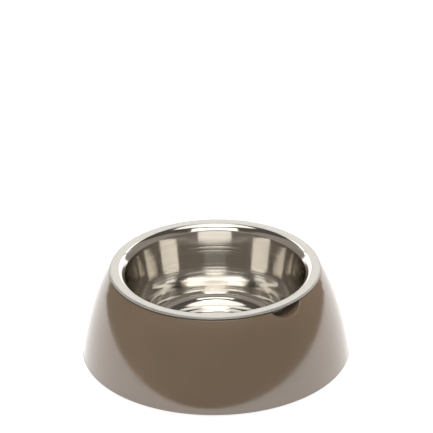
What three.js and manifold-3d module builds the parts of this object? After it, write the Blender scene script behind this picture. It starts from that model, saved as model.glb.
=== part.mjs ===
// Raised pet food bowl: a moulded ring stand on rubber feet, and a drawn steel bowl that lifts out of it.
// Millimetres, +Z up. The origin is on the floor under the centre, and +X runs through the finger scallops.

import * as THREE from 'three';
import { mergeVertices } from 'three/addons/utils/BufferGeometryUtils.js';
import Module from 'manifold-3d';

const wasm = await Module();
wasm.setup();

// Stand: a thin shell with an open bottom, a flat land on top and a curved outer wall
const STAND_TOP_RADIUS = 80;
const STAND_BASE_RADIUS = 102;
const STAND_HEIGHT = 68;
const STAND_WALL = 1.8;
const LAND_WIDTH = 8.6;
const LAND_EDGE_ROUND = 1.2;
const WALL_TOP_SLOPE = 37;
const WALL_TOP_REACH = 18;
const WALL_BASE_SLOPE = 9;
const WALL_BASE_REACH = 21;

// Finger scallops: two round-bottomed dips in the land, opposite each other on X
const SCALLOP_WIDTH = 28.4;
const SCALLOP_DEPTH = 6.8;

// Notches: tapered cut-outs in the inner edge of the land
const NOTCH_COUNT = 4;
const NOTCH_FIRST_ANGLE = 45;
const NOTCH_MOUTH = 7.2;
const NOTCH_FLOOR = 4;
const NOTCH_DEPTH = 4.2;

// Lugs: tapered blocks under the land, opposite each other on Y
const LUG_COUNT = 2;
const LUG_FIRST_ANGLE = 90;
const LUG_TOP_WIDTH = 10.5;
const LUG_FOOT_WIDTH = 5.2;
const LUG_HEIGHT = 7.4;
const LUG_SETBACK = 1.6;

// Rubber feet: push-in studs, each through a tab at the foot of the shell
const FOOT_COUNT = 4;
const FOOT_FIRST_ANGLE = 45;
const FOOT_PAD_RADIUS = 6;
const FOOT_PAD_HEIGHT = 4;
const FOOT_CHAMFER = 0.7;
const FOOT_STEM_RADIUS = 2.4;
const FOOT_HEAD_OVERHANG = 1.2;
const FOOT_HEAD_HEIGHT = 3;
const FOOT_TIP_INSET = 0.6;
const FOOT_WALL_MARGIN = 3;
const FLOOR_GAP = 1;
const TAB_THICKNESS = 2;
const TAB_EDGE = 3;

// Steel bowl: one drawn sheet with a flat rim, a rolled edge, a tapered wall and a stepped bottom
const BOWL_SHEET = 0.8;
const BOWL_BEAD_RADIUS = 1.1;
const BOWL_NECK_TAPER = 4.4;
const BOWL_NECK_DROP = 5.4;
const BOWL_NECK_ROUND = 4;
const BOWL_WALL_TAPER = 10.2;
const BOWL_CORNER_ROUND = 13;
const BOWL_STEP_INSET = 6;
const BOWL_STEP_HEIGHT = 1.2;
const BOWL_STEP_RUN = 2;
const BOWL_BEND_ROUND = 0.7;

// How the pieces sit together: the rim on the land, the neck in the opening, the bottom off the floor
const RIM_INSET = 0.2;
const NECK_CLEARANCE = 0.6;
const FLOOR_CLEARANCE = 7.5;
const SEAT_GAP = 0.3;
const STUD_GAP = 0.3;

// Facets
const RING_SEGMENTS = 64;
const FOOT_SEGMENTS = 18;
const ARC_STEPS = 3;
const BEND_STEPS = 2;
const CORNER_STEPS = 6;
const BEAD_STEPS = 7;
const WALL_STEPS = 10;
const SCALLOP_SEGMENTS = 48;
const CUT_MARGIN = 2;
const MERGE_DISTANCE = 1e-5;

// Levels and radii that follow from the sizes above
const seatRadius = STAND_TOP_RADIUS - LAND_WIDTH;
const scallopArc = (SCALLOP_WIDTH ** 2 / 4 + SCALLOP_DEPTH ** 2) / (2 * SCALLOP_DEPTH);
const tabFloor = FOOT_PAD_HEIGHT + STUD_GAP;
const tabTop = tabFloor + TAB_THICKNESS;
const footCircle = STAND_BASE_RADIUS - STAND_WALL - FOOT_WALL_MARGIN - FOOT_PAD_RADIUS;
const rimHeight = SEAT_GAP + 2 * BOWL_BEAD_RADIUS;
const bowlRimLevel = STAND_HEIGHT + rimHeight;
const bowlRimRadius = STAND_TOP_RADIUS - RIM_INSET;
const neckSlope = BOWL_NECK_TAPER / BOWL_NECK_DROP;
const neckOutside = seatRadius - NECK_CLEARANCE + neckSlope * rimHeight;
const neckTop = neckOutside - BOWL_SHEET * Math.hypot(1, neckSlope);
const neckFoot = neckTop - BOWL_NECK_TAPER;
const bowlFloor = FLOOR_CLEARANCE - bowlRimLevel + BOWL_SHEET;

const materials = {
  stand: new THREE.MeshStandardMaterial({ color: 0x766557, roughness: 0.25, metalness: 0 }),
  steel: new THREE.MeshStandardMaterial({ color: 0xd6d2ca, roughness: 0.2, metalness: 1 }),
  rubber: new THREE.MeshStandardMaterial({ color: 0x2b2927, roughness: 0.85, metalness: 0 }),
};

function corner(x, y, round = 0, steps = ARC_STEPS) {
  return { point: new THREE.Vector2(x, y), round, steps };
}

// Turns a list of corners into points, with an arc of the given radius at each rounded corner
function roundedOutline(corners) {
  const points = [];
  corners.forEach(({ point, round, steps }, index) => {
    if (round === 0) {
      points.push(point);
      return;
    }
    const back = corners[index - 1].point.clone().sub(point).normalize();
    const ahead = corners[index + 1].point.clone().sub(point).normalize();
    const half = Math.acos(back.dot(ahead)) / 2;
    const middle = back.clone().add(ahead).normalize();
    const centre = point.clone().addScaledVector(middle, round / Math.sin(half));
    const start = back.multiplyScalar(round / Math.tan(half)).add(point).sub(centre);
    const end = ahead.multiplyScalar(round / Math.tan(half)).add(point).sub(centre);
    const turn = Math.atan2(start.cross(end), start.dot(end));
    for (let step = 0; step <= steps; step += 1) {
      points.push(start.clone().rotateAround(new THREE.Vector2(), (turn * step) / steps).add(centre));
    }
  });
  return points;
}

// Moves an open outline sideways, to its right for a positive distance, with mitred corners
function offsetOutline(points, distance) {
  const normals = points.slice(1).map((point, index) => {
    const along = point.clone().sub(points[index]).normalize();
    return new THREE.Vector2(along.y, -along.x);
  });
  return points.map((point, index) => {
    const before = normals[Math.max(index - 1, 0)];
    const after = normals[Math.min(index, normals.length - 1)];
    const mitre = before.clone().add(after);
    return point.clone().addScaledVector(mitre, (2 * distance) / mitre.lengthSq());
  });
}

// Solid from a three.js geometry: shared vertices are merged and the slivers on a lathe's axis dropped
function solid(geometry) {
  geometry.deleteAttribute('normal');
  geometry.deleteAttribute('uv');
  const merged = mergeVertices(geometry, MERGE_DISTANCE);
  const triangles = [];
  for (let first = 0; first < merged.index.count; first += 3) {
    const [a, b, c] = [0, 1, 2].map((step) => merged.index.getX(first + step));
    if (a !== b && b !== c && c !== a) {
      triangles.push(a, b, c);
    }
  }
  const mesh = new wasm.Mesh({
    numProp: 3,
    vertProperties: new Float32Array(merged.attributes.position.array),
    triVerts: new Uint32Array(triangles),
  });
  return new wasm.Manifold(mesh);
}

// Solid of revolution about Z. The outline runs upwards from the axis and back to it, right hand outwards.
function revolve(outline, segments) {
  return solid(new THREE.LatheGeometry(outline, segments).rotateX(Math.PI / 2));
}

function cylinder(radius, bottom, top, segments) {
  const outline = [
    new THREE.Vector2(0, bottom),
    new THREE.Vector2(radius, bottom),
    new THREE.Vector2(radius, top),
    new THREE.Vector2(0, top),
  ];
  return revolve(outline, segments);
}

function prism(points, depth) {
  const shape = new THREE.Shape(points.map(([x, y]) => new THREE.Vector2(x, y)));
  return new THREE.ExtrudeGeometry(shape, { depth, bevelEnabled: false });
}

function meshOf(name, body, material) {
  const { vertProperties, triVerts } = body.getMesh();
  const geometry = new THREE.BufferGeometry();
  geometry.setAttribute('position', new THREE.BufferAttribute(new Float32Array(vertProperties), 3));
  geometry.setIndex(new THREE.BufferAttribute(new Uint32Array(triVerts), 1));
  geometry.computeVertexNormals();
  const mesh = new THREE.Mesh(geometry, material);
  mesh.name = name;
  return mesh;
}

function anglesRound(count, firstDegrees) {
  return Array.from({ length: count }, (_, index) => (
    THREE.MathUtils.degToRad(firstDegrees + (index * 360) / count)
  ));
}

// Outer wall from the land's corner down to the lower edge, leaving each end at its own slope
function wallCurve() {
  const topSlope = THREE.MathUtils.degToRad(WALL_TOP_SLOPE);
  const baseSlope = THREE.MathUtils.degToRad(WALL_BASE_SLOPE);
  const top = new THREE.Vector2(STAND_TOP_RADIUS, STAND_HEIGHT);
  const base = new THREE.Vector2(STAND_BASE_RADIUS, FLOOR_GAP);
  const topHandle = new THREE.Vector2(Math.sin(topSlope), -Math.cos(topSlope));
  const baseHandle = new THREE.Vector2(-Math.sin(baseSlope), Math.cos(baseSlope));
  return new THREE.CubicBezierCurve(
    top,
    topHandle.multiplyScalar(WALL_TOP_REACH).add(top),
    baseHandle.multiplyScalar(WALL_BASE_REACH).add(base),
    base,
  );
}

// Everything under the stand's outer surface, moved inwards by a thickness and cut off at a lower level
function standFilled(inwards, bottom, edgeRound) {
  const wall = wallCurve().getPoints(WALL_STEPS).slice(1);
  const lowest = wall[wall.length - 1];
  const tail = wallCurve().getTangent(1).multiplyScalar(STAND_WALL + CUT_MARGIN).add(lowest);
  const corners = [
    corner(0, STAND_HEIGHT),
    corner(STAND_TOP_RADIUS, STAND_HEIGHT, edgeRound),
    ...wall.map((point) => corner(point.x, point.y)),
    corner(tail.x, tail.y),
  ];
  const outline = offsetOutline(roundedOutline(corners), inwards);
  const end = outline[outline.length - 1];
  const filled = revolve([new THREE.Vector2(0, end.y), ...outline.reverse()], RING_SEGMENTS);
  const below = cylinder(STAND_BASE_RADIUS * 2, end.y - CUT_MARGIN, bottom, RING_SEGMENTS);
  return filled.subtract(below);
}

// A rod along X that leaves the scallops where it passes through the land
function scallopRod(radius) {
  const length = 2 * (STAND_BASE_RADIUS + CUT_MARGIN);
  const rod = new THREE.CylinderGeometry(radius, radius, length, SCALLOP_SEGMENTS);
  rod.rotateZ(Math.PI / 2);
  rod.translate(0, 0, STAND_HEIGHT - SCALLOP_DEPTH + scallopArc);
  return solid(rod);
}

// Wedge that cuts one notch through the land's plate, narrowing outwards
function notchCut(angle) {
  const flare = (NOTCH_MOUTH - NOTCH_FLOOR) / 2 / NOTCH_DEPTH;
  const mouth = NOTCH_MOUTH / 2 + flare * CUT_MARGIN;
  const geometry = prism([
    [seatRadius - CUT_MARGIN, -mouth],
    [seatRadius + NOTCH_DEPTH, -NOTCH_FLOOR / 2],
    [seatRadius + NOTCH_DEPTH, NOTCH_FLOOR / 2],
    [seatRadius - CUT_MARGIN, mouth],
  ], STAND_WALL + 2 * CUT_MARGIN);
  geometry.translate(0, 0, STAND_HEIGHT - STAND_WALL - CUT_MARGIN);
  return solid(geometry.rotateZ(angle));
}

// Tapered block in the corner between the land's underside and the wall, running out along the angle
function lug(angle) {
  const top = STAND_HEIGHT - STAND_WALL / 2;
  const geometry = prism([
    [-LUG_TOP_WIDTH / 2, top],
    [-LUG_FOOT_WIDTH / 2, STAND_HEIGHT - STAND_WALL - LUG_HEIGHT],
    [LUG_FOOT_WIDTH / 2, STAND_HEIGHT - STAND_WALL - LUG_HEIGHT],
    [LUG_TOP_WIDTH / 2, top],
  ], STAND_BASE_RADIUS - seatRadius);
  geometry.rotateX(Math.PI / 2);
  geometry.rotateZ(Math.PI / 2);
  geometry.translate(seatRadius + LUG_SETBACK, 0, 0);
  return solid(geometry.rotateZ(angle));
}

// Tongue with a round end that reaches in from the wall, with a hole for the foot's stem
function footTab(angle) {
  const endRadius = FOOT_PAD_RADIUS + TAB_EDGE;
  const outline = new THREE.Shape();
  outline.moveTo(STAND_BASE_RADIUS, endRadius);
  outline.lineTo(footCircle, endRadius);
  outline.absarc(footCircle, 0, endRadius, Math.PI / 2, (3 * Math.PI) / 2, false);
  outline.lineTo(STAND_BASE_RADIUS, -endRadius);
  const hole = new THREE.Path();
  hole.absarc(footCircle, 0, FOOT_STEM_RADIUS + STUD_GAP, 0, 2 * Math.PI, true);
  outline.holes.push(hole);
  const geometry = new THREE.ExtrudeGeometry(outline, {
    depth: TAB_THICKNESS,
    bevelEnabled: false,
    curveSegments: FOOT_SEGMENTS / 2,
  });
  geometry.translate(0, 0, tabFloor);
  return solid(geometry.rotateZ(angle));
}

function standShell() {
  const outside = standFilled(0, FLOOR_GAP, LAND_EDGE_ROUND).subtract(scallopRod(scallopArc));
  const hollow = standFilled(STAND_WALL, FLOOR_GAP - CUT_MARGIN, 0);
  const shell = outside.subtract(hollow.subtract(scallopRod(scallopArc + STAND_WALL)));
  const midWall = standFilled(STAND_WALL / 2, FLOOR_GAP, 0);
  const lugs = anglesRound(LUG_COUNT, LUG_FIRST_ANGLE).map((angle) => lug(angle).intersect(midWall));
  const tabs = anglesRound(FOOT_COUNT, FOOT_FIRST_ANGLE).map((angle) => footTab(angle).intersect(midWall));
  const dipFloor = STAND_HEIGHT - SCALLOP_DEPTH - STAND_WALL - CUT_MARGIN;
  const seatHole = cylinder(seatRadius, dipFloor, STAND_HEIGHT + CUT_MARGIN, RING_SEGMENTS);
  const cuts = anglesRound(NOTCH_COUNT, NOTCH_FIRST_ANGLE).map(notchCut);
  const joined = [...lugs, ...tabs].reduce((whole, piece) => whole.add(piece), shell);
  return [seatHole, ...cuts].reduce((whole, cut) => whole.subtract(cut), joined);
}

// One push-in foot: a chamfered pad under the tab, a stem through it and a tapered head above
function rubberFoot() {
  const headLevel = tabTop + STUD_GAP;
  const headRadius = FOOT_STEM_RADIUS + FOOT_HEAD_OVERHANG;
  const tipRadius = FOOT_STEM_RADIUS - FOOT_TIP_INSET;
  const outline = [
    new THREE.Vector2(0, 0),
    new THREE.Vector2(FOOT_PAD_RADIUS - FOOT_CHAMFER, 0),
    new THREE.Vector2(FOOT_PAD_RADIUS, FOOT_CHAMFER),
    new THREE.Vector2(FOOT_PAD_RADIUS, FOOT_PAD_HEIGHT),
    new THREE.Vector2(FOOT_STEM_RADIUS, FOOT_PAD_HEIGHT),
    new THREE.Vector2(FOOT_STEM_RADIUS, headLevel),
    new THREE.Vector2(headRadius, headLevel),
    new THREE.Vector2(tipRadius, headLevel + FOOT_HEAD_HEIGHT),
    new THREE.Vector2(0, headLevel + FOOT_HEAD_HEIGHT),
  ];
  return revolve(outline, FOOT_SEGMENTS);
}

// The sheet's inside surface from the middle of the floor to the rim, measured from the rim's top
function bowlInside() {
  const bend = BOWL_SHEET + BOWL_BEND_ROUND;
  const wallFoot = neckFoot - BOWL_WALL_TAPER;
  const stepRadius = wallFoot - BOWL_CORNER_ROUND - BOWL_STEP_INSET;
  return roundedOutline([
    corner(0, bowlFloor + BOWL_STEP_HEIGHT),
    corner(stepRadius - BOWL_STEP_RUN, bowlFloor + BOWL_STEP_HEIGHT, bend, BEND_STEPS),
    corner(stepRadius, bowlFloor, bend, BEND_STEPS),
    corner(wallFoot, bowlFloor, BOWL_CORNER_ROUND, CORNER_STEPS),
    corner(neckFoot, -BOWL_NECK_DROP, bend),
    corner(neckTop, 0, BOWL_NECK_ROUND),
    corner(bowlRimRadius - BOWL_BEAD_RADIUS, 0),
  ]);
}

// The rolled edge, from the rim's top surface round to the underside of the sheet
function bowlBead() {
  const bead = new THREE.Path();
  const centre = bowlRimRadius - BOWL_BEAD_RADIUS;
  const end = Math.PI - Math.asin((BOWL_BEAD_RADIUS - BOWL_SHEET) / BOWL_BEAD_RADIUS);
  bead.absarc(centre, -BOWL_BEAD_RADIUS, BOWL_BEAD_RADIUS, Math.PI / 2, end, true);
  return bead.getPoints(BEAD_STEPS);
}

function steelBowl() {
  const inside = bowlInside();
  const outside = offsetOutline(inside, BOWL_SHEET).slice(0, -1);
  const outline = [...inside.slice(0, -1), ...bowlBead(), ...outside.reverse()];
  return revolve(outline.reverse(), RING_SEGMENTS);
}

const petBowl = new THREE.Group();
petBowl.add(meshOf('stand_shell', standShell(), materials.stand));

anglesRound(FOOT_COUNT, FOOT_FIRST_ANGLE).forEach((angle, index) => {
  const foot = meshOf(`rubber_foot_${index + 1}`, rubberFoot(), materials.rubber);
  foot.position.set(footCircle * Math.cos(angle), footCircle * Math.sin(angle), 0);
  petBowl.add(foot);
});

const bowl = meshOf('steel_bowl', steelBowl(), materials.steel);
bowl.position.z = bowlRimLevel;
petBowl.add(bowl);

export default petBowl;
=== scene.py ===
import math

import bmesh
import bpy
import numpy as np
from mathutils import Matrix, Vector


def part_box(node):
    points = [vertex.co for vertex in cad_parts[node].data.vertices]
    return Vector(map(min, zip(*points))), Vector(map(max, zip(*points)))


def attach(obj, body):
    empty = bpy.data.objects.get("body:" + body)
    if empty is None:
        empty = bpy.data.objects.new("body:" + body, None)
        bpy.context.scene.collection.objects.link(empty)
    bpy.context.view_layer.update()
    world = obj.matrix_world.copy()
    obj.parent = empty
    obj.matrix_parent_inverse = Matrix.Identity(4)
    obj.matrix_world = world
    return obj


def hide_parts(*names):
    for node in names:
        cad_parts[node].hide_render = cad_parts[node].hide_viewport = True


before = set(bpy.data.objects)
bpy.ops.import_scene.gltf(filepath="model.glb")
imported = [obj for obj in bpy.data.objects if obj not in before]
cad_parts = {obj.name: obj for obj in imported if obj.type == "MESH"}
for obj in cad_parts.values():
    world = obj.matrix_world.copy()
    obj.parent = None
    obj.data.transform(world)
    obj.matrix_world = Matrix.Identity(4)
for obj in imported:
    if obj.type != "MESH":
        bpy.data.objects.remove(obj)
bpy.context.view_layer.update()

# Raised pet food bowl: the smooth surfaces, finishes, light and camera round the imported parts, in metres.
stand_low, stand_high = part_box("stand_shell")
bowl_low, bowl_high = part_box("steel_bowl")
MM = 0.001

# Stand: a thin shell with an open bottom, a flat land on top and a curved outer wall
STAND_TOP = stand_high.z
STAND_FOOT = stand_low.z
STAND_BASE_RADIUS = stand_high.x
STAND_TOP_RADIUS = 80 * MM
STAND_WALL = 1.8 * MM
LAND_WIDTH = 8.6 * MM
LAND_EDGE_ROUND = 1.2 * MM
PLATE_EDGE_ROUND = 0.35 * MM
INNER_CORNER_ROUND = 1.0 * MM
LIP_ROUND = 0.5 * MM
WALL_TOP_SLOPE = math.radians(37)
WALL_TOP_REACH = 18 * MM
WALL_BASE_SLOPE = math.radians(9)
WALL_BASE_REACH = 21 * MM
SEAT_RADIUS = STAND_TOP_RADIUS - LAND_WIDTH

# Finger scallops on X: round-bottomed dips in the land, with a rounded lip
SCALLOP_WIDTH = 28.4 * MM
SCALLOP_DEPTH = 6.8 * MM
SCALLOP_LIP_ROUND = 1.0 * MM
SCALLOP_ARC = (SCALLOP_WIDTH**2 / 4 + SCALLOP_DEPTH**2) / (2 * SCALLOP_DEPTH)

# Notches in the land's inner edge, and lugs under the land
NOTCH_ANGLE = math.radians(45)
NOTCH_MOUTH = 7.2 * MM
NOTCH_FLOOR = 4 * MM
NOTCH_DEPTH = 4.2 * MM
NOTCH_CORNER_ROUND = 0.5 * MM
LUG_TOP_WIDTH = 10.5 * MM
LUG_FOOT_WIDTH = 5.2 * MM
LUG_HEIGHT = 7.4 * MM
LUG_SETBACK = 1.6 * MM
LUG_EDGE_ROUND = 0.4 * MM

# Tabs that carry the rubber feet
FEET = ["rubber_foot_1", "rubber_foot_2", "rubber_foot_3", "rubber_foot_4"]
TAB_FLOOR = 4.3 * MM
TAB_THICKNESS = 2 * MM
TAB_END_RADIUS = 9 * MM
TAB_HOLE_RADIUS = 2.7 * MM
TAB_EDGE_ROUND = 0.4 * MM

# Rubber feet: a pad, a stem and a tapered head
FOOT_PAD_RADIUS = 6 * MM
FOOT_PAD_HEIGHT = 4 * MM
FOOT_PAD_ROUND = 0.9 * MM
FOOT_STEM_RADIUS = 2.4 * MM
FOOT_HEAD_LEVEL = 6.6 * MM
FOOT_HEAD_RADIUS = 3.6 * MM
FOOT_TIP_RADIUS = 1.8 * MM
FOOT_TIP_LEVEL = 9.6 * MM
FOOT_EDGE_ROUND = 0.3 * MM

# Steel bowl: one drawn sheet, with heights measured down from the top of its rim
RIM_LEVEL = bowl_high.z
RIM_RADIUS = bowl_high.x
BOWL_DEPTH = bowl_high.z - bowl_low.z
BOWL_SHEET = 0.8 * MM
BOWL_BEAD_RADIUS = 1.1 * MM
BOWL_NECK_TOP = 71.81 * MM
BOWL_NECK_TAPER = 3.6 * MM
BOWL_NECK_DROP = 4.4 * MM
BOWL_NECK_ROUND = 7 * MM
BOWL_CREASE_ROUND = 1.5 * MM
BOWL_WALL_TAPER = 10.2 * MM
BOWL_CORNER_ROUND = 13 * MM
BOWL_STEP_INSET = 6 * MM
BOWL_STEP_HEIGHT = 1.2 * MM
BOWL_STEP_RUN = 2 * MM
BOWL_STEP_ROUND = 1.5 * MM

# Fine grooves inside the bowl: pressed rings in the floor, and lines round the wall left by drawing it
FLOOR_RINGS = 4
FLOOR_RING_PITCH = 5 * MM
FLOOR_RING_HALF_WIDTH = 0.8 * MM
FLOOR_RING_DEPTH = 0.12 * MM
FLOOR_RING_ROUND = 1.5 * MM
WALL_LINE_LEVELS = (37.5 * MM, 34.5 * MM, 31 * MM, 20 * MM, 17 * MM)
WALL_LINE_HALF_WIDTH = 0.5 * MM
WALL_LINE_DEPTH = 0.009 * MM
WALL_LINE_ROUND = 6 * MM

# Fineness of the surfaces. A supporting row beside an arc keeps the flat next to it flat in smooth shading,
# and edges that turn by more than the sharp angle stay sharp
BOWL_SEGMENTS = 360
BOWL_ROW_LENGTH = 3 * MM
BOWL_CORNER_STEPS = 24
BOWL_NECK_STEPS = 10
BOWL_BEAD_POINTS = 22
GROOVE_EDGE_STEPS = 1
GROOVE_MIDDLE_STEPS = 2
FOOT_SEGMENTS = 64
TAB_SEGMENTS = 72
WALL_SAMPLES = 400
WALL_ROWS = 44
LAND_ROWS = 7
SCALLOP_LINES = 15
LINE_STEP = math.radians(0.9)
ARC_STEPS = 6
CORNER_STEPS = 4
EDGE_STEPS = 3
SUPPORT = 0.15 * MM
SHARP_ANGLE = math.radians(50)
ROUND_PROFILE = 0.5
NEARLY_ZERO = 1e-6

# Surface lines round the stand: past a scallop they widen to the even step, beside a notch they start at its
# run-in and lie at shares of its depth, and near the scallops they run straight along X before they turn to
# the axis
LINE_SPREAD = (0.4 * MM, 1 * MM, 2 * MM, 3.2 * MM, 4.6 * MM)
NOTCH_RUN_IN = math.radians(4.5)
NOTCH_SHARES = (0.3, 0.5, 0.7)
STRAIGHT_END = math.radians(16)
STRAIGHT_FADE = math.radians(18)

# Finishes: darkest and lightest colour, and lowest and highest roughness, over the middle range of a noise.
# On brushed and polished steel the noise changes much more slowly along the rings than across them
NOISE_RANGE = (0.3, 0.7)
RING_DRIFT = 0.04
GLOSS_COLOURS = ((0.117, 0.0795, 0.049), (0.128, 0.0875, 0.055))
GLOSS_ROUGHNESS = (0.11, 0.16)
GLOSS_INDEX = 1.6
GLOSS_SPECULAR = 0.75
# Painted light: the inside is the same plastic as the outside, painted far paler for the light that reaches
# it
INSIDE_PAINTED_LIGHT_COLOURS = ((0.72, 0.635, 0.55), (0.77, 0.68, 0.59))
INSIDE_ROUGHNESS = (0.36, 0.48)
POLISHED_COLOURS = ((0.67, 0.65, 0.615), (0.73, 0.71, 0.675))
POLISHED_ROUGHNESS = (0.045, 0.10)
# Painted shade: the rim is the same steel as the outside, painted darker
RIM_PAINTED_SHADE_COLOURS = ((0.382, 0.371, 0.353), (0.428, 0.417, 0.399))
OUTSIDE_COLOURS = ((0.53, 0.508, 0.486), (0.58, 0.558, 0.536))
SATIN_ROUGHNESS = (0.38, 0.50)
SATIN_METALLIC = 0.8
RUBBER_COLOURS = ((0.020, 0.019, 0.018), (0.034, 0.032, 0.030))
RUBBER_ROUGHNESS = (0.72, 0.88)

# Places of the finishes in the lists of materials of the stand and the bowl
STAND_GLOSS, STAND_PAINTED_LIGHT_INSIDE = 0, 1
BOWL_POLISHED, BOWL_RIM_PAINTED_SHADE, BOWL_OUTSIDE = 0, 1, 2

# Camera, from the photograph's ellipses
IMAGE_SIZE = 433
FOCAL_PIXELS = 2800
SENSOR_WIDTH = 36
CLIP_NEAR = 0.1
CLIP_FAR = 100
CAMERA_AZIMUTH = math.radians(49.3)
CAMERA_DISTANCE = 1.8670
CAMERA_HEIGHT = 1.0569
CAMERA_PITCH = math.radians(26.825)
CAMERA_ROLL = math.radians(-0.76)
CAMERA_TURN = math.radians(0.048)

# Light. From here on, turns are measured from the camera's direction, to the right, and elevations from the
# floor, both in degrees
AMBIENT = 0.66
FLOOR_GLOW = 0.68
FLOOR_GREY = 0.86
FLOOR_SIZE = 12.0
FLOOR_LEVEL = -0.1 * MM
GLOSSY_BOUNCES = 12
# Each soft light: turn, distance and height, length of its sides, and power
SOFT_LIGHTS = {
    "top_soft": ((130, 0.7, 1.4), 1.5, 32),
    "front_soft": ((-60, 1.3, 0.9), 1.2, 10.5),
}

# Cards that only the gloss mirrors: a bright table, a dim card close round the front, and two bars of light
CARD_TINT = (1, 0.9, 0.8)
BOX_TINT = (1, 0.97, 0.92)
TABLE_TINT = (1, 0.99, 0.98)
TABLE_LIGHT = 2
TABLE_LEVEL = 0.5 * MM
TABLE_GAP = 1 * MM
TABLE_RADIUS = 3
TABLE_POINTS = 97
NEAR_CARD_LIGHT = 0.3
NEAR_CARD_TURN = 127
NEAR_CARD_DISTANCE = 0.131
NEAR_CARD_SPREAD = 0.219
NEAR_CARD_SPREAD_TURN = 80
NEAR_CARD_SPREAD_POWER = 1.77
NEAR_CARD_SKEW = 5
NEAR_CARD_HEIGHT = 0.045
NEAR_CARD_RISE = 0.2
NEAR_CARD_POINTS = 96
BAR_DISTANCE = 0.4
BAR_POINTS = 32
# Each bar: middle turn, half width, lowest and highest level, and light
LIGHT_BARS = {
    "card_bar": (180, 40, (0.322, 0.3452), 0.68),
    "card_front": (0, 38, (0.53, 0.72), 2),
}

# Dome that only the gloss mirrors: a dim tent with an open back, and light boxes
DOME_RADIUS = 1.2
DOME_CENTRE = 0.08
DOME_FOOT = -4
EDGE_SOFTNESS = 3
TENT_ELEVATIONS = (-4, 19, 23, 44, 48, 90)
TENT_LIGHT = (0.29, 0.29, 0.33, 0.33, 0.10, 0.10)
OPENING_ELEVATIONS = (-4, 21, 46, 66)
OPENING_TURNS = (142, 150, 160, 168)
OPENING_SOFTNESS = 8
# Each box: middle turn, elevations from its foot to its head, and its half width and light at each of them
LIGHT_BOXES = {
    "top": (0, (68, 95), (200, 200), (1.5, 1.5)),
    "lamp": (0, (70, 80), (40, 40), (7, 7)),
    "front_low": (0, (31, 37), (42, 42), (0.5, 0.5)),
    "back_floor": (180, (-8, -0.5), (45, 45), (2, 2)),
    "back": (180, (4, 24, 36, 42, 52), (45, 35, 30, 27, 22), (1.5, 1.85, 2.6, 3.2, 3.2)),
}


def rounded(corners):
    """Points of an open outline: each corner is (x, y, radius, steps), and a radius of 0 keeps it sharp."""
    points = []
    for index, (x, y, radius, steps) in enumerate(corners):
        point = np.array([x, y])
        if radius == 0:
            points.append(point)
            continue
        back = np.array(corners[index - 1][:2]) - point
        ahead = np.array(corners[index + 1][:2]) - point
        back /= np.linalg.norm(back)
        ahead /= np.linalg.norm(ahead)
        half = math.acos(back @ ahead) / 2
        middle = (back + ahead) / np.linalg.norm(back + ahead)
        centre = point + middle * radius / math.sin(half)
        start = point + back * radius / math.tan(half) - centre
        end = point + ahead * radius / math.tan(half) - centre
        turn = math.atan2(start[0] * end[1] - start[1] * end[0], start @ end)
        for angle in np.linspace(0, turn, steps + 1):
            cosine, sine = math.cos(angle), math.sin(angle)
            turned = np.array([cosine * start[0] - sine * start[1], sine * start[0] + cosine * start[1]])
            points.append(centre + turned)
    return np.array(points)


def offset(points, distance):
    """The outline moved to its right, with mitred corners."""
    along = np.diff(points, axis=0)
    along /= np.linalg.norm(along, axis=1, keepdims=True)
    normals = np.stack([along[:, 1], -along[:, 0]], axis=1)
    before = np.vstack([normals[:1], normals])
    after = np.vstack([normals, normals[-1:]])
    mitre = before + after
    return points + mitre * (2 * distance / (mitre**2).sum(axis=1, keepdims=True))


def split_long(points, longest):
    """The outline with points added along stretches longer than the given length."""
    result = [points[0]]
    for start, end in zip(points[:-1], points[1:]):
        count = max(1, math.ceil(np.linalg.norm(end - start) / longest))
        for step in range(1, count + 1):
            result.append(start + (end - start) * step / count)
    return np.array(result)


def arc(centre_radius, centre_height, radius, turns):
    """Points of an arc in a section, each a pair of radius and height."""
    return [(centre_radius + radius * np.cos(turn), centre_height + radius * np.sin(turn)) for turn in turns]


def grid_faces(rows, columns, close_rows):
    """Quads of a grid that is closed along its columns, and along its rows if asked."""
    faces = []
    for row in range(rows if close_rows else rows - 1):
        below = ((row + 1) % rows) * columns
        for column in range(columns):
            ahead = (column + 1) % columns
            faces.append((row * columns + column, row * columns + ahead, below + ahead, below + column))
    return faces


def facing_out(vertices, faces):
    """The faces with their winding turned, if need be, so that the closed mesh has a positive volume."""
    triangles = [(face[0], face[step], face[step + 1]) for face in faces for step in range(1, len(face) - 1)]
    first, second, third = np.array(vertices)[np.array(triangles).T]
    volume = np.sum(first * np.cross(second, third))
    return faces if volume > 0 else [tuple(reversed(face)) for face in faces]


def make_piece(name, parts, materials):
    """One object from closed parts, each (vertices, faces, material index of each face)."""
    all_vertices, all_faces, all_indices = [], [], []
    for vertices, faces, indices in parts:
        start = len(all_vertices)
        all_vertices.extend(vertices)
        all_faces.extend(tuple(start + corner for corner in face) for face in facing_out(vertices, faces))
        all_indices.extend(indices)
    mesh = bpy.data.meshes.new(name)
    mesh.from_pydata([tuple(vertex) for vertex in all_vertices], [], all_faces)
    for material in materials:
        mesh.materials.append(material)
    mesh.polygons.foreach_set("material_index", all_indices)
    mesh.shade_smooth()
    mesh.set_sharp_from_angle(angle=SHARP_ANGLE)
    mesh.validate()
    piece = bpy.data.objects.new(name, mesh)
    bpy.context.scene.collection.objects.link(piece)
    return piece


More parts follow.
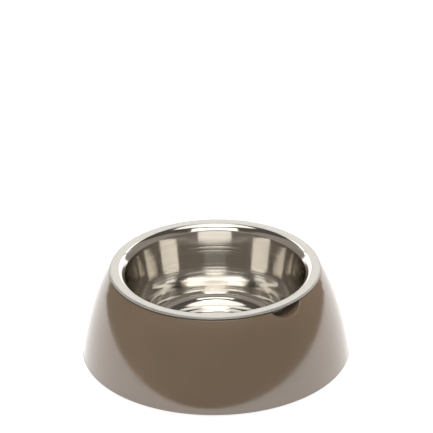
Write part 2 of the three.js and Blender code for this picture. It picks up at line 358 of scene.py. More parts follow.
def lathe(outline, segments, centre=(0, 0), band_materials=None):
    """A closed part of revolution. The outline starts and ends on the axis, each point between makes a ring,
    and each band from one ring to the next may have its own material."""
    inner = outline[1:-1]
    angles = np.linspace(0, 2 * math.pi, segments, endpoint=False)
    rings = np.zeros((len(inner), segments, 3))
    rings[:, :, 0] = centre[0] + inner[:, :1] * np.cos(angles)
    rings[:, :, 1] = centre[1] + inner[:, :1] * np.sin(angles)
    rings[:, :, 2] = inner[:, 1:]
    vertices = list(rings.reshape(-1, 3))
    faces = grid_faces(len(inner), segments, close_rows=False)
    bands = [0] * (len(inner) - 1) if band_materials is None else band_materials
    indices = [band for band in bands for _ in range(segments)]
    last = (len(inner) - 1) * segments
    for pole, ring, flip in ((outline[0], 0, False), (outline[-1], last, True)):
        tip = len(vertices)
        vertices.append(np.array([centre[0], centre[1], pole[1]]))
        for column in range(segments):
            ahead = (column + 1) % segments
            fan = (tip, ring + ahead, ring + column)
            faces.append(tuple(reversed(fan)) if flip else fan)
        indices.extend([bands[-1] if flip else bands[0]] * segments)
    return vertices, faces, indices


def stand_wall():
    """The wall's section from foot to top: points of its outer side, its slope, and its inner side."""
    share = np.linspace(0, 1, WALL_SAMPLES)[:, None]
    rest = 1 - share
    top = np.array([STAND_TOP_RADIUS, STAND_TOP])
    base = np.array([STAND_BASE_RADIUS, STAND_FOOT])
    top_handle = top + WALL_TOP_REACH * np.array([math.sin(WALL_TOP_SLOPE), -math.cos(WALL_TOP_SLOPE)])
    base_handle = base + WALL_BASE_REACH * np.array([-math.sin(WALL_BASE_SLOPE), math.cos(WALL_BASE_SLOPE)])
    upper = rest**3 * top + 3 * rest**2 * share * top_handle
    outer = upper + 3 * rest * share**2 * base_handle + share**3 * base
    inner = offset(outer, STAND_WALL)
    along = np.gradient(outer, axis=0)
    slope = np.arctan2(along[:, 0], -along[:, 1])
    return outer[::-1], slope[::-1], inner[::-1]


def wall_middle(level):
    """Radius of the middle of the wall's thickness at a level."""
    outer, _, inner = stand_wall()
    return (np.interp(level, outer[:, 1], outer[:, 0]) + np.interp(level, inner[:, 1], inner[:, 0])) / 2


def scallop_lines():
    """Distances along Y of the surface lines across half a scallop, with the land's drop at each."""
    centres_apart = SCALLOP_ARC + SCALLOP_LIP_ROUND
    lip_centre = math.sqrt(centres_apart**2 - (centres_apart - SCALLOP_DEPTH) ** 2)
    lip_angle = math.asin(lip_centre / centres_apart)
    reach, drop = [], []
    for angle in np.linspace(0, lip_angle, SCALLOP_LINES):
        reach.append(SCALLOP_ARC * math.sin(angle))
        drop.append(SCALLOP_DEPTH - SCALLOP_ARC * (1 - math.cos(angle)))
    for angle in np.linspace(lip_angle, 0, ARC_STEPS + 1)[1:]:
        reach.append(lip_centre - SCALLOP_LIP_ROUND * math.sin(angle))
        drop.append(SCALLOP_LIP_ROUND * (1 - math.cos(angle)))
    return reach, drop


def notch_lines():
    """Radius and angle of points on half a notch's edge, from the seat to the middle of the notch's floor."""
    side = (NOTCH_MOUTH - NOTCH_FLOOR) / 2
    mouth = (SEAT_RADIUS, NOTCH_MOUTH / 2)
    floor = (SEAT_RADIUS + NOTCH_DEPTH, NOTCH_FLOOR / 2)
    corners = [
        (SEAT_RADIUS * math.cos(NOTCH_RUN_IN), SEAT_RADIUS * math.sin(NOTCH_RUN_IN), 0, 0),
        (*mouth, NOTCH_CORNER_ROUND, CORNER_STEPS),
        *((mouth[0] + NOTCH_DEPTH * share, mouth[1] - side * share, 0, 0) for share in NOTCH_SHARES),
        (*floor, NOTCH_CORNER_ROUND, CORNER_STEPS),
        (floor[0], floor[1] / 2, 0, 0),
        (floor[0], 0, 0, 0),
    ]
    edge = rounded(corners)
    return np.hypot(edge[:, 0], edge[:, 1]), np.arctan2(edge[:, 1], edge[:, 0])


def quadrant_lines():
    """The surface lines of a quarter of the stand, from +X to +Y: angle at the top radius, how straight each
    line runs along X, the land's drop, and the radius of the land's inner edge."""
    reach, drop = scallop_lines()
    spread = [reach[-1] + step for step in LINE_SPREAD]
    angles = [math.asin(value / STAND_TOP_RADIUS) for value in reach + spread]
    notch_radius, notch_turn = notch_lines()
    before = NOTCH_ANGLE - notch_turn[0]
    angles += list(np.arange(angles[-1] + LINE_STEP, before - LINE_STEP / 2, LINE_STEP))
    plain = len(angles)
    angles += list(NOTCH_ANGLE - notch_turn) + list(NOTCH_ANGLE + notch_turn[-2::-1])
    edges = [SEAT_RADIUS] * plain + list(notch_radius) + list(notch_radius[-2::-1])
    after = np.linspace(angles[-1], math.pi / 2, int((math.pi / 2 - angles[-1]) / LINE_STEP) + 1)[1:]
    angles = np.array(angles + list(after))
    edges = np.array(edges + [SEAT_RADIUS] * len(after))
    drops = np.zeros(len(angles))
    drops[: len(drop)] = drop
    fade = np.clip((angles - STRAIGHT_END) / STRAIGHT_FADE, 0, 1)
    straight = 1 - fade * fade * (3 - 2 * fade)
    return angles, straight, drops, edges


def stand_rows():
    """The stand's surface lines, as angles and how straight they run, and the rows of points across them,
    outside and inside, each a pair of radius and height for every line."""
    outer, slope, inner = stand_wall()

    def wall_radius(height):
        return np.interp(height, outer[:, 1], outer[:, 0])

    def inner_radius(height):
        return np.interp(height, inner[:, 1], inner[:, 0])

    def wall_slope(height):
        return np.interp(height, outer[:, 1], slope)

    angles, straight, drops, edges = quadrant_lines()
    reach = STAND_TOP_RADIUS * np.sin(angles)
    top = STAND_TOP - drops
    arc_centre = STAND_TOP - SCALLOP_DEPTH + SCALLOP_ARC
    liner = SCALLOP_ARC + STAND_WALL
    dipped = arc_centre - np.sqrt(np.maximum(liner**2 - reach**2, 0))
    under = np.where(reach < liner, np.minimum(dipped, STAND_TOP - STAND_WALL), STAND_TOP - STAND_WALL)

    # Inner edge of the land's plate, upwards
    plate_edge = edges + PLATE_EDGE_ROUND
    low_turns = np.linspace(1.5 * math.pi, math.pi, EDGE_STEPS + 1)
    high_turns = np.linspace(math.pi, math.pi / 2, EDGE_STEPS + 1)
    outside = arc(plate_edge, under + PLATE_EDGE_ROUND, PLATE_EDGE_ROUND, low_turns)
    outside += arc(plate_edge, top - PLATE_EDGE_ROUND, PLATE_EDGE_ROUND, high_turns)

    # Land, outwards
    top_slope = wall_slope(top)
    land_end = wall_radius(top) - LAND_EDGE_ROUND / np.tan((math.pi / 2 + top_slope) / 2)
    for share in np.linspace(0, 1, LAND_ROWS):
        outside.append((plate_edge + SUPPORT + (land_end - plate_edge - 2 * SUPPORT) * share, top))

    # Rounded outer edge, then the wall down to the lip
    edge_turns = np.linspace(math.pi / 2, top_slope, ARC_STEPS + 1)
    outside += arc(land_end, top - LAND_EDGE_ROUND, LAND_EDGE_ROUND, edge_turns)
    wall_start = top + LAND_EDGE_ROUND * (np.sin(top_slope) - 1) - SUPPORT
    lip_level = STAND_FOOT + LIP_ROUND * (1 + math.sin(WALL_BASE_SLOPE)) + SUPPORT
    for share in np.linspace(0, 1, WALL_ROWS):
        height = wall_start + (lip_level - wall_start) * share
        outside.append((wall_radius(height), height))

    # Lip at the foot
    middle = np.full(len(angles), STAND_FOOT + LIP_ROUND)
    inset = LIP_ROUND / math.cos(WALL_BASE_SLOPE)
    outer_turns = np.linspace(WALL_BASE_SLOPE, -math.pi / 2, CORNER_STEPS + 1)
    inner_turns = np.linspace(-math.pi / 2, WALL_BASE_SLOPE - math.pi, CORNER_STEPS + 1)
    outside += arc(wall_radius(middle) - inset, middle, LIP_ROUND, outer_turns)
    inside = arc(inner_radius(middle) + inset, middle, LIP_ROUND, inner_turns)

    # Inside of the wall, upwards, the inner corner, and the land's underside, inwards
    under_slope = wall_slope(under)
    under_end = inner_radius(under) - INNER_CORNER_ROUND / np.tan((math.pi / 2 + under_slope) / 2)
    wall_end = under + INNER_CORNER_ROUND * (np.sin(under_slope) - 1)
    for share in np.linspace(0, 1, WALL_ROWS):
        height = lip_level + (wall_end - SUPPORT - lip_level) * share
        inside.append((inner_radius(height), height))
    corner_turns = np.linspace(under_slope, math.pi / 2, ARC_STEPS)
    inside += arc(under_end, under - INNER_CORNER_ROUND, INNER_CORNER_ROUND, corner_turns)
    for share in np.linspace(0, 1, LAND_ROWS):
        inside.append((under_end - SUPPORT + (plate_edge - under_end + 2 * SUPPORT) * share, under))
    return angles, straight, outside, inside


def stand_body():
    """The shell as one closed part: a quarter's lines, mirrored over X and Y."""
    angles, straight, outside, inside = stand_rows()
    rows = outside + inside
    reach = STAND_TOP_RADIUS * np.sin(angles)
    vertices = []
    for radius, height in rows:
        turned = (1 - straight) * angles + straight * np.arcsin(np.clip(reach / radius, 0, 1))
        x, y = radius * np.cos(turned), radius * np.sin(turned)
        ring_x = np.concatenate([x, -x[-2::-1], -x[1:], x[-2:0:-1]])
        ring_y = np.concatenate([y, y[-2::-1], -y[1:], -y[-2:0:-1]])
        ring_z = np.concatenate([height, height[-2::-1], height[1:], height[-2:0:-1]])
        vertices.extend(np.stack([ring_x, ring_y, ring_z], axis=1))
    columns = len(vertices) // len(rows)
    faces = grid_faces(len(rows), columns, close_rows=True)
    indices = [STAND_GLOSS] * (len(outside) * columns) + [STAND_PAINTED_LIGHT_INSIDE] * (len(inside) * columns)
    return vertices, faces, indices


def tab(angle, foot_circle):
    """A tongue with a round end and a hole for a foot's stem, reaching in from the wall."""
    turns = np.linspace(0, 2 * math.pi, TAB_SEGMENTS, endpoint=False)
    outwards, aside = np.cos(turns), np.sin(turns)
    reach = wall_middle(TAB_FLOOR + TAB_THICKNESS / 2)
    to_wall = np.sqrt(reach**2 - (foot_circle * aside) ** 2) - foot_circle * outwards
    to_side = TAB_END_RADIUS / np.maximum(np.abs(aside), NEARLY_ZERO)
    edge = np.where(outwards > 0, np.minimum(to_wall, to_side), TAB_END_RADIUS) - TAB_EDGE_ROUND
    hole = TAB_HOLE_RADIUS + TAB_EDGE_ROUND
    low = TAB_FLOOR + TAB_EDGE_ROUND
    high = TAB_FLOOR + TAB_THICKNESS - TAB_EDGE_ROUND
    rows = []
    # The four rounded edges, a quarter turn each: the hole's, upwards, then the outer ones, downwards
    for number, (radius, level) in enumerate(((hole, low), (hole, high), (edge, high), (edge, low))):
        start = math.pi * (3 - number) / 2
        rows += arc(radius, level, TAB_EDGE_ROUND, np.linspace(start, start - math.pi / 2, EDGE_STEPS + 1))
    vertices = []
    for radius, height in rows:
        x = foot_circle + radius * outwards
        y = radius * aside
        ring_x = x * math.cos(angle) - y * math.sin(angle)
        ring_y = x * math.sin(angle) + y * math.cos(angle)
        vertices.extend(np.stack([ring_x, ring_y, np.full(TAB_SEGMENTS, height)], axis=1))
    faces = grid_faces(len(rows), TAB_SEGMENTS, close_rows=True)
    return vertices, faces, [STAND_PAINTED_LIGHT_INSIDE] * len(faces)


def lug(angle):
    """A tapered block with rounded edges, in the corner between the land's underside and the wall."""
    top = STAND_TOP - STAND_WALL / 2
    foot = STAND_TOP - STAND_WALL - LUG_HEIGHT
    start = SEAT_RADIUS + LUG_SETBACK
    block = bmesh.new()
    corners = []
    for level, width in ((foot, LUG_FOOT_WIDTH), (top, LUG_TOP_WIDTH)):
        wall = wall_middle(level)
        for radius, side in ((start, -width), (wall, -width), (wall, width), (start, width)):
            corners.append(block.verts.new((radius, side / 2, level)))
    block.faces.new(corners[3::-1])
    block.faces.new(corners[4:])
    for index in range(4):
        ahead = (index + 1) % 4
        block.faces.new((corners[index], corners[ahead], corners[ahead + 4], corners[index + 4]))
    bmesh.ops.bevel(
        block,
        geom=block.edges[:],
        offset=LUG_EDGE_ROUND,
        segments=EDGE_STEPS,
        profile=ROUND_PROFILE,
        affect="EDGES",
    )
    bmesh.ops.rotate(block, verts=block.verts[:], matrix=Matrix.Rotation(angle, 3, "Z"))
    block.verts.index_update()
    vertices = [np.array(vertex.co) for vertex in block.verts]
    faces = [tuple(vertex.index for vertex in face.verts) for face in block.faces]
    block.free()
    return vertices, faces, [STAND_PAINTED_LIGHT_INSIDE] * len(faces)


def foot_outline():
    """A foot's section, from the middle of its underside to the middle of its tip."""
    return rounded([
        (0, 0, 0, 0),
        (FOOT_PAD_RADIUS, 0, FOOT_PAD_ROUND, ARC_STEPS),
        (FOOT_PAD_RADIUS, FOOT_PAD_HEIGHT, FOOT_EDGE_ROUND, EDGE_STEPS),
        (FOOT_STEM_RADIUS, FOOT_PAD_HEIGHT, FOOT_EDGE_ROUND, EDGE_STEPS),
        (FOOT_STEM_RADIUS, FOOT_HEAD_LEVEL, FOOT_EDGE_ROUND, EDGE_STEPS),
        (FOOT_HEAD_RADIUS, FOOT_HEAD_LEVEL, FOOT_EDGE_ROUND, EDGE_STEPS),
        (FOOT_TIP_RADIUS, FOOT_TIP_LEVEL, FOOT_EDGE_ROUND, EDGE_STEPS),
        (0, FOOT_TIP_LEVEL, 0, 0),
    ])


def groove(place, along, half_width, depth, radius):
    """Corners of a shallow round groove, on the right of a straight stretch of an outline."""
    across = np.array([along[1], -along[0]])
    return [
        (*(place - along * half_width), radius, GROOVE_EDGE_STEPS),
        (*(place + across * depth), radius, GROOVE_MIDDLE_STEPS),
        (*(place + along * half_width), radius, GROOVE_EDGE_STEPS),
    ]


def bowl_inside(grooved):
    """The inside of the bowl's section, from the middle of its floor to the start of the rolled edge."""
    floor = BOWL_SHEET - BOWL_DEPTH
    raised = floor + BOWL_STEP_HEIGHT
    neck_foot = BOWL_NECK_TOP - BOWL_NECK_TAPER
    wall_foot = neck_foot - BOWL_WALL_TAPER
    step = wall_foot - BOWL_CORNER_ROUND - BOWL_STEP_INSET
    floor_grooves, wall_grooves = [], []
    if grooved:
        ring = (FLOOR_RING_HALF_WIDTH, FLOOR_RING_DEPTH, FLOOR_RING_ROUND)
        outwards = np.array([1.0, 0.0])
        for number in range(FLOOR_RINGS, 0, -1):
            place = np.array([step - BOWL_STEP_RUN - number * FLOOR_RING_PITCH, raised])
            floor_grooves += groove(place, outwards, *ring)
        line = (WALL_LINE_HALF_WIDTH, WALL_LINE_DEPTH, WALL_LINE_ROUND)
        top = np.array([neck_foot, -BOWL_NECK_DROP])
        rise = top - np.array([wall_foot, floor])
        upwards = rise / np.linalg.norm(rise)
        for level in WALL_LINE_LEVELS:
            place = top - upwards * (level - BOWL_NECK_DROP) / upwards[1]
            wall_grooves += groove(place, upwards, *line)
    inside = rounded([
        (0, raised, 0, 0),
        *floor_grooves,
        (step - BOWL_STEP_RUN, raised, BOWL_STEP_ROUND, ARC_STEPS),
        (step, floor, BOWL_STEP_ROUND, ARC_STEPS),
        (wall_foot, floor, BOWL_CORNER_ROUND, BOWL_CORNER_STEPS),
        *wall_grooves,
        (neck_foot, -BOWL_NECK_DROP, BOWL_CREASE_ROUND, ARC_STEPS),
        (BOWL_NECK_TOP, 0, BOWL_NECK_ROUND, BOWL_NECK_STEPS),
        (RIM_RADIUS - BOWL_BEAD_RADIUS, 0, 0, 0),
    ])
    return split_long(inside, BOWL_ROW_LENGTH)


def bowl_outline():
    """The bowl's section from the middle of its floor, over the rim and back under the floor, with the places
    in it where the polished inside and the rim end."""
    inside = bowl_inside(grooved=True)
    outside = offset(bowl_inside(grooved=False), BOWL_SHEET)[:-1]
    bead_end = -math.pi - math.asin((BOWL_BEAD_RADIUS - BOWL_SHEET) / BOWL_BEAD_RADIUS)
    bead_turns = np.linspace(math.pi / 2, bead_end, BOWL_BEAD_POINTS)
    bead = arc(RIM_RADIUS - BOWL_BEAD_RADIUS, -BOWL_BEAD_RADIUS, BOWL_BEAD_RADIUS, bead_turns)
    polished = int(np.sum(inside[:, 0] < BOWL_NECK_TOP))
    outline = np.vstack([inside[:-1], bead, outside[::-1]])
    outline[0, 0] = outline[-1, 0] = 0
    return outline + np.array([0, RIM_LEVEL]), polished, len(inside) + len(bead)


def new_material(name):
    """A material with its node tree and its shader."""
    material = bpy.data.materials.new(name)
    material.use_nodes = True
    return material, material.node_tree, material.node_tree.nodes["Principled BSDF"]


def object_place(tree):
    return tree.nodes.new("ShaderNodeTexCoord").outputs["Object"]


def ring_place(tree):
    """Coordinates that change across the rings of a turned or polished piece and only slowly along them."""
    nodes, links = tree.nodes, tree.links
    place = object_place(tree)
    flat = nodes.new("ShaderNodeVectorMath")
    flat.operation = "MULTIPLY"
    flat.inputs[1].default_value = (1, 1, 0)
    links.new(place, flat.inputs[0])
    length = nodes.new("ShaderNodeVectorMath")
    length.operation = "LENGTH"
    links.new(flat.outputs["Vector"], length.inputs[0])
    split = nodes.new("ShaderNodeSeparateXYZ")
    links.new(place, split.inputs["Vector"])
    slow = nodes.new("ShaderNodeMath")
    slow.operation = "MULTIPLY"
    slow.inputs[1].default_value = RING_DRIFT
    links.new(split.outputs["X"], slow.inputs[0])
    joined = nodes.new("ShaderNodeCombineXYZ")
    links.new(length.outputs["Value"], joined.inputs["X"])
    links.new(split.outputs["Z"], joined.inputs["Y"])
    links.new(slow.outputs["Value"], joined.inputs["Z"])
    return joined.outputs["Vector"]


def noise(tree, place, scale, detail):
    texture = tree.nodes.new("ShaderNodeTexNoise")
    texture.inputs["Scale"].default_value = scale
    texture.inputs["Detail"].default_value = detail
    tree.links.new(place, texture.inputs["Vector"])
    return texture.outputs["Fac"]


def colour(tree, shader, pattern, shades):
    """Base colour that runs from the first shade to the second with a noise."""
    blend = tree.nodes.new("ShaderNodeValToRGB")
    for stop, position, shade in zip(blend.color_ramp.elements, NOISE_RANGE, shades):
        stop.position = position
        stop.color = (*shade, 1)
    tree.links.new(pattern, blend.inputs["Fac"])
    tree.links.new(blend.outputs["Color"], shader.inputs["Base Color"])


def roughen(tree, shader, pattern, limits):
    """Roughness that runs from the first limit to the second with a noise."""
    scaled = tree.nodes.new("ShaderNodeMapRange")
    values = (*NOISE_RANGE, *limits)
    for socket, value in zip(("From Min", "From Max", "To Min", "To Max"), values):
        scaled.inputs[socket].default_value = value
    tree.links.new(pattern, scaled.inputs["Value"])
    tree.links.new(scaled.outputs["Result"], shader.inputs["Roughness"])


def bump(tree, shader, pattern, distance, strength):
    node = tree.nodes.new("ShaderNodeBump")
    node.inputs["Distance"].default_value = distance
    node.inputs["Strength"].default_value = strength
    tree.links.new(pattern, node.inputs["Height"])
    tree.links.new(node.outputs["Normal"], shader.inputs["Normal"])


def gloss_plastic():
    """Outside of the stand: glossy moulded plastic with a faint ripple and slight clouds of tone."""
    material, tree, shader = new_material("stand_gloss")
    place = object_place(tree)
    colour(tree, shader, noise(tree, place, scale=28, detail=4), GLOSS_COLOURS)
    roughen(tree, shader, noise(tree, place, scale=90, detail=5), GLOSS_ROUGHNESS)
    shader.inputs["IOR"].default_value = GLOSS_INDEX
    shader.inputs["Specular IOR Level"].default_value = GLOSS_SPECULAR
    bump(tree, shader, noise(tree, place, scale=160, detail=2), distance=0.02 * MM, strength=0.25)
    return material


def inside_plastic_painted_light():
    """Inside of the stand: the same plastic, satin, with painted light that makes it far paler."""
    material, tree, shader = new_material("stand_inside_painted_light")
    place = object_place(tree)
    colour(tree, shader, noise(tree, place, scale=40, detail=4), INSIDE_PAINTED_LIGHT_COLOURS)
    grain = noise(tree, place, scale=900, detail=3)
    roughen(tree, shader, grain, INSIDE_ROUGHNESS)
    bump(tree, shader, grain, distance=0.03 * MM, strength=0.3)
    return material


def polished_steel():
    """Inside of the bowl: bright polished steel with faint polishing rings."""
    material, tree, shader = new_material("steel_polished")
    rings = ring_place(tree)
    colour(tree, shader, noise(tree, rings, scale=900, detail=4), POLISHED_COLOURS)
    shader.inputs["Metallic"].default_value = 1
    roughen(tree, shader, noise(tree, rings, scale=260, detail=3), POLISHED_ROUGHNESS)
    bump(tree, shader, noise(tree, rings, scale=110, detail=5), distance=0.12 * MM, strength=0.25)
    return material


def satin_steel(name, shades):
    """Rim and outside of the bowl: satin steel, brushed round. The rim's darker shades are painted shade."""
    material, tree, shader = new_material(name)
    fine = noise(tree, ring_place(tree), scale=2400, detail=4)
    colour(tree, shader, fine, shades)
    shader.inputs["Metallic"].default_value = SATIN_METALLIC
    roughen(tree, shader, fine, SATIN_ROUGHNESS)
    bump(tree, shader, fine, distance=0.01 * MM, strength=0.2)
    return material


def dark_rubber():
    """Feet: matt rubber with a fine grain and a dusty bloom."""
    material, tree, shader = new_material("foot_rubber")
    place = object_place(tree)
    colour(tree, shader, noise(tree, place, scale=220, detail=5), RUBBER_COLOURS)
    grain = noise(tree, place, scale=2600, detail=3)
    roughen(tree, shader, grain, RUBBER_ROUGHNESS)
    bump(tree, shader, grain, distance=0.05 * MM, strength=0.5)
    return material


def emission_material(name, tint, strength):
    material = bpy.data.materials.new(name)
    material.use_nodes = True
    nodes, links = material.node_tree.nodes, material.node_tree.links
    nodes.clear()
    light = nodes.new("ShaderNodeEmission")
    light.inputs["Color"].default_value = (*tint, 1)
    light.inputs["Strength"].default_value = strength
    output = nodes.new("ShaderNodeOutputMaterial")
    links.new(light.outputs["Emission"], output.inputs["Surface"])
    return material


def seen_rays(nodes, links):
    """1 for the rays that show the background: from the camera, in a reflection or through glass."""
    path = nodes.new("ShaderNodeLightPath")
    total = path.outputs["Is Camera Ray"]
    for name in ("Is Glossy Ray", "Is Transmission Ray"):
        either = nodes.new("ShaderNodeMath")
        either.operation = "MAXIMUM"
        links.new(total, either.inputs[0])
        links.new(path.outputs[name], either.inputs[1])
        total = either.outputs["Value"]
    return total


def make_world():
    """White where it is seen, and a soft even light elsewhere."""
    world = bpy.data.worlds.new("studio")
    bpy.context.scene.world = world
    world.use_nodes = True
    world.cycles.sampling_method = "NONE"
    nodes, links = world.node_tree.nodes, world.node_tree.links
    strength = nodes.new("ShaderNodeMapRange")
    strength.inputs["To Min"].default_value = AMBIENT
    strength.inputs["To Max"].default_value = 1
    links.new(seen_rays(nodes, links), strength.inputs["Value"])
    background = nodes["Background"]
    background.inputs["Color"].default_value = (1, 1, 1, 1)
    links.new(strength.outputs["Result"], background.inputs["Strength"])


def floor_white():
    """White that is mostly its own where it is seen, so that the shadow on it stays faint."""
    material = bpy.data.materials.new("floor_white")
    material.use_nodes = True
    nodes, links = material.node_tree.nodes, material.node_tree.links
    nodes.clear()
    matt = nodes.new("ShaderNodeBsdfDiffuse")
    matt.inputs["Color"].default_value = (FLOOR_GREY, FLOOR_GREY, FLOOR_GREY, 1)
    white = nodes.new("ShaderNodeEmission")
    white.inputs["Strength"].default_value = (1 - (1 - FLOOR_GLOW) * FLOOR_GREY * AMBIENT) / FLOOR_GLOW
    share = nodes.new("ShaderNodeMath")
    share.operation = "MULTIPLY"
    share.inputs[1].default_value = FLOOR_GLOW
    links.new(seen_rays(nodes, links), share.inputs[0])
    mix = nodes.new("ShaderNodeMixShader")
    links.new(share.outputs["Value"], mix.inputs["Fac"])
    links.new(matt.outputs["BSDF"], mix.inputs[1])
    links.new(white.outputs["Emission"], mix.inputs[2])
    output = nodes.new("ShaderNodeOutputMaterial")
    links.new(mix.outputs["Shader"], output.inputs["Surface"])
    return material


def make_floor():
    mesh = bpy.data.meshes.new("floor")
    half = FLOOR_SIZE / 2
    corners = [(-half, -half), (half, -half), (half, half), (-half, half)]
    mesh.from_pydata([(x, y, FLOOR_LEVEL) for x, y in corners], [], [(0, 1, 2, 3)])
    mesh.materials.append(floor_white())
    floor = bpy.data.objects.new("floor", mesh)
    bpy.context.scene.collection.objects.link(floor)


def around(turn, distance, height):
    """A point near the object: turn is measured at its axis from the direction of the camera, in degrees."""
    angle = CAMERA_AZIMUTH + math.radians(turn)
    return Vector((distance * math.sin(angle), -distance * math.cos(angle), height))


def reflected_card(name, vertices, columns, material):
    """A card, as a grid of points, that shows only in reflections."""
    faces = []
    for index in range(len(vertices) - columns):
        if index % columns < columns - 1:
            faces.append((index, index + 1, index + columns + 1, index + columns))
    mesh = bpy.data.meshes.new(name)
    mesh.from_pydata(vertices, [], faces)
    mesh.materials.append(material)
    mesh.shade_smooth()
    card = bpy.data.objects.new(name, mesh)
    bpy.context.scene.collection.objects.link(card)
    card.visible_camera = False
    card.visible_diffuse = False
    card.visible_shadow = False
    card.visible_transmission = False
    return card


def ramp(value, edge, softness=EDGE_SOFTNESS):
    """0 below the edge and 1 above it, with a straight run between."""
    return np.clip((value - edge) / softness + 0.5, 0, 1)


def dome_colours(turn, elevation):
    """Colour of the light from a direction: the tent, its open back, then each light box over them."""
    tent = np.interp(elevation, TENT_ELEVATIONS, TENT_LIGHT)
    opened = ramp(np.abs(turn), np.interp(elevation, OPENING_ELEVATIONS, OPENING_TURNS), OPENING_SOFTNESS)
    light = tent[..., None] * np.array(CARD_TINT)
    light += (1 - light) * opened[..., None]
    for centre, levels, half_widths, strengths in LIGHT_BOXES.values():
        across = np.abs((turn - centre + 180) % 360 - 180)
        half = np.interp(elevation, levels, half_widths)
        strength = np.interp(elevation, levels, strengths)
        inside = (1 - ramp(across, half)) * ramp(elevation, levels[0]) * (1 - ramp(elevation, levels[-1]))
        light += (strength[..., None] * np.array(BOX_TINT) - light) * inside[..., None]
    return light


def make_dome():
    """The tent and the light boxes, on one dome over the object with a point at every degree."""
    turns = np.arange(-180, 181)
    elevations = np.arange(DOME_FOOT, 91)
    vertices = []
    for elevation in np.radians(elevations):
        level = DOME_CENTRE + DOME_RADIUS * math.sin(elevation)
        vertices += [around(turn, DOME_RADIUS * math.cos(elevation), level) for turn in turns]
    material = emission_material("dome", CARD_TINT, 1)
    nodes, links = material.node_tree.nodes, material.node_tree.links
    stored = nodes.new("ShaderNodeAttribute")
    stored.attribute_name = "light"
    links.new(stored.outputs["Color"], nodes["Emission"].inputs["Color"])
    dome = reflected_card("dome", vertices, len(turns), material)
    layer = dome.data.attributes.new("light", "FLOAT_COLOR", "POINT")
    values = np.ones((len(vertices), 4))
    values[:, :3] = dome_colours(*np.meshgrid(turns, elevations)).reshape(-1, 3)
    layer.data.foreach_set("color", values.ravel())


def make_light_table():
    """A bright ring that lies on the floor round the object."""
    turns = np.linspace(0, 360, TABLE_POINTS)
    radii = (STAND_BASE_RADIUS + TABLE_GAP, TABLE_RADIUS)
    vertices = [around(turn, radius, TABLE_LEVEL) for radius in radii for turn in turns]
    material = emission_material("light_table", TABLE_TINT, TABLE_LIGHT)
    reflected_card("light_table", vertices, len(turns), material)


def make_near_card():
    """A dim card that stands close in front of the object and curves away from it at the sides."""
    turns = np.linspace(-NEAR_CARD_TURN, NEAR_CARD_TURN, NEAR_CARD_POINTS)
    aside = np.abs(turns + NEAR_CARD_SKEW) / NEAR_CARD_SPREAD_TURN
    distances = NEAR_CARD_DISTANCE + NEAR_CARD_SPREAD * aside**NEAR_CARD_SPREAD_POWER
    heights = NEAR_CARD_HEIGHT + (distances - NEAR_CARD_DISTANCE) * NEAR_CARD_RISE
    vertices = [around(turn, distance, 0) for turn, distance in zip(turns, distances)]
    vertices += [around(turn, distance, height) for turn, distance, height in zip(turns, distances, heights)]
    material = emission_material("card_near", CARD_TINT, NEAR_CARD_LIGHT)
    reflected_card("card_near", vertices, len(turns), material)


def make_light_bars():
    """Upright strips of light at an even distance from the axis."""
    for name, (centre, half_width, levels, light) in LIGHT_BARS.items():
        turns = np.linspace(centre - half_width, centre + half_width, BAR_POINTS)
        vertices = [around(turn, BAR_DISTANCE, level) for level in levels for turn in turns]
        reflected_card(name, vertices, len(turns), emission_material(name, BOX_TINT, light))


def make_soft_lights():
    """Soft square lights that nothing mirrors: one above and behind, and a weaker one in front."""
    for name, (place, side, power) in SOFT_LIGHTS.items():
        data = bpy.data.lights.new(name, "AREA")
        data.shape = "SQUARE"
        data.size = side
        data.energy = power
        light = bpy.data.objects.new(name, data)
        light.location = around(*place)
        light.rotation_euler = (-around(*place)).to_track_quat("-Z", "Y").to_euler()
        light.visible_camera = False
        light.visible_glossy = False
        bpy.context.scene.collection.objects.link(light)


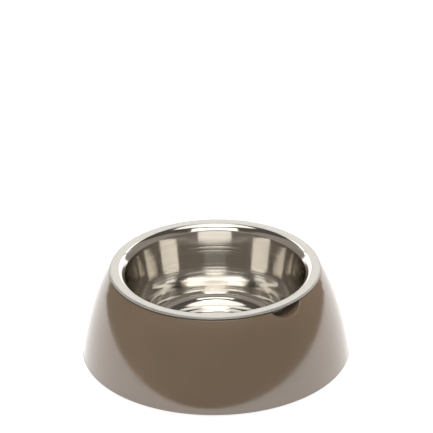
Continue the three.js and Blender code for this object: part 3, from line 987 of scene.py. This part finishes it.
def make_camera():
    data = bpy.data.cameras.new("camera")
    data.sensor_width = SENSOR_WIDTH
    data.lens = SENSOR_WIDTH * FOCAL_PIXELS / IMAGE_SIZE
    data.clip_start = CLIP_NEAR
    data.clip_end = CLIP_FAR
    camera = bpy.data.objects.new("camera", data)
    bpy.context.scene.collection.objects.link(camera)
    heading = -around(0, 1, 0)
    right = Vector((heading.y, -heading.x, 0))
    turned = heading * math.cos(CAMERA_TURN) + right * math.sin(CAMERA_TURN)
    forward = turned * math.cos(CAMERA_PITCH) - Vector((0, 0, math.sin(CAMERA_PITCH)))
    side = Vector((turned.y, -turned.x, 0))
    axes = Matrix((side, side.cross(forward), -forward)).transposed()
    place = Matrix.Translation(around(0, CAMERA_DISTANCE, CAMERA_HEIGHT))
    camera.matrix_world = place @ axes.to_4x4() @ Matrix.Rotation(CAMERA_ROLL, 4, "Z")
    bpy.context.scene.camera = camera


def foot_centre(node):
    low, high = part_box(node)
    return (low + high) / 2


def make_stand(gloss, inside):
    parts = [stand_body()]
    for node in FEET:
        centre = foot_centre(node)
        parts.append(tab(math.atan2(centre.y, centre.x), math.hypot(centre.x, centre.y)))
    for angle in (math.pi / 2, -math.pi / 2):
        parts.append(lug(angle))
    stand = make_piece("stand", parts, [gloss, inside])
    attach(stand, "stand")
    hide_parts("stand_shell")


def make_feet(rubber):
    for number, node in enumerate(FEET, start=1):
        centre = foot_centre(node)
        solid = lathe(foot_outline(), FOOT_SEGMENTS, (centre.x, centre.y))
        foot = make_piece(f"foot_{number}", [solid], [rubber])
        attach(foot, "stand")
        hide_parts(node)


def make_bowl(polished, rim, outside):
    outline, polished_end, rim_end = bowl_outline()
    rings = len(outline) - 2
    bands = [BOWL_POLISHED] * polished_end + [BOWL_RIM_PAINTED_SHADE] * (rim_end - polished_end)
    bands += [BOWL_OUTSIDE] * (rings - 1 - rim_end)
    solid = lathe(outline, BOWL_SEGMENTS, band_materials=bands)
    bowl = make_piece("bowl", [solid], [polished, rim, outside])
    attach(bowl, "bowl")
    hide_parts("steel_bowl")


make_camera()
make_world()
make_floor()
make_light_table()
make_near_card()
make_dome()
make_light_bars()
make_soft_lights()
# The inside's far paler colour is painted light
make_stand(gloss_plastic(), inside_plastic_painted_light())
make_feet(dark_rubber())
# The rim's darker steel colours are painted shade
rim_steel_painted_shade = satin_steel("steel_rim_painted_shade", RIM_PAINTED_SHADE_COLOURS)
outside_steel = satin_steel("steel_outside", OUTSIDE_COLOURS)
make_bowl(polished_steel(), rim_steel_painted_shade, outside_steel)
bpy.context.scene.view_settings.view_transform = "Standard"
bpy.context.scene.cycles.glossy_bounces = GLOSSY_BOUNCES
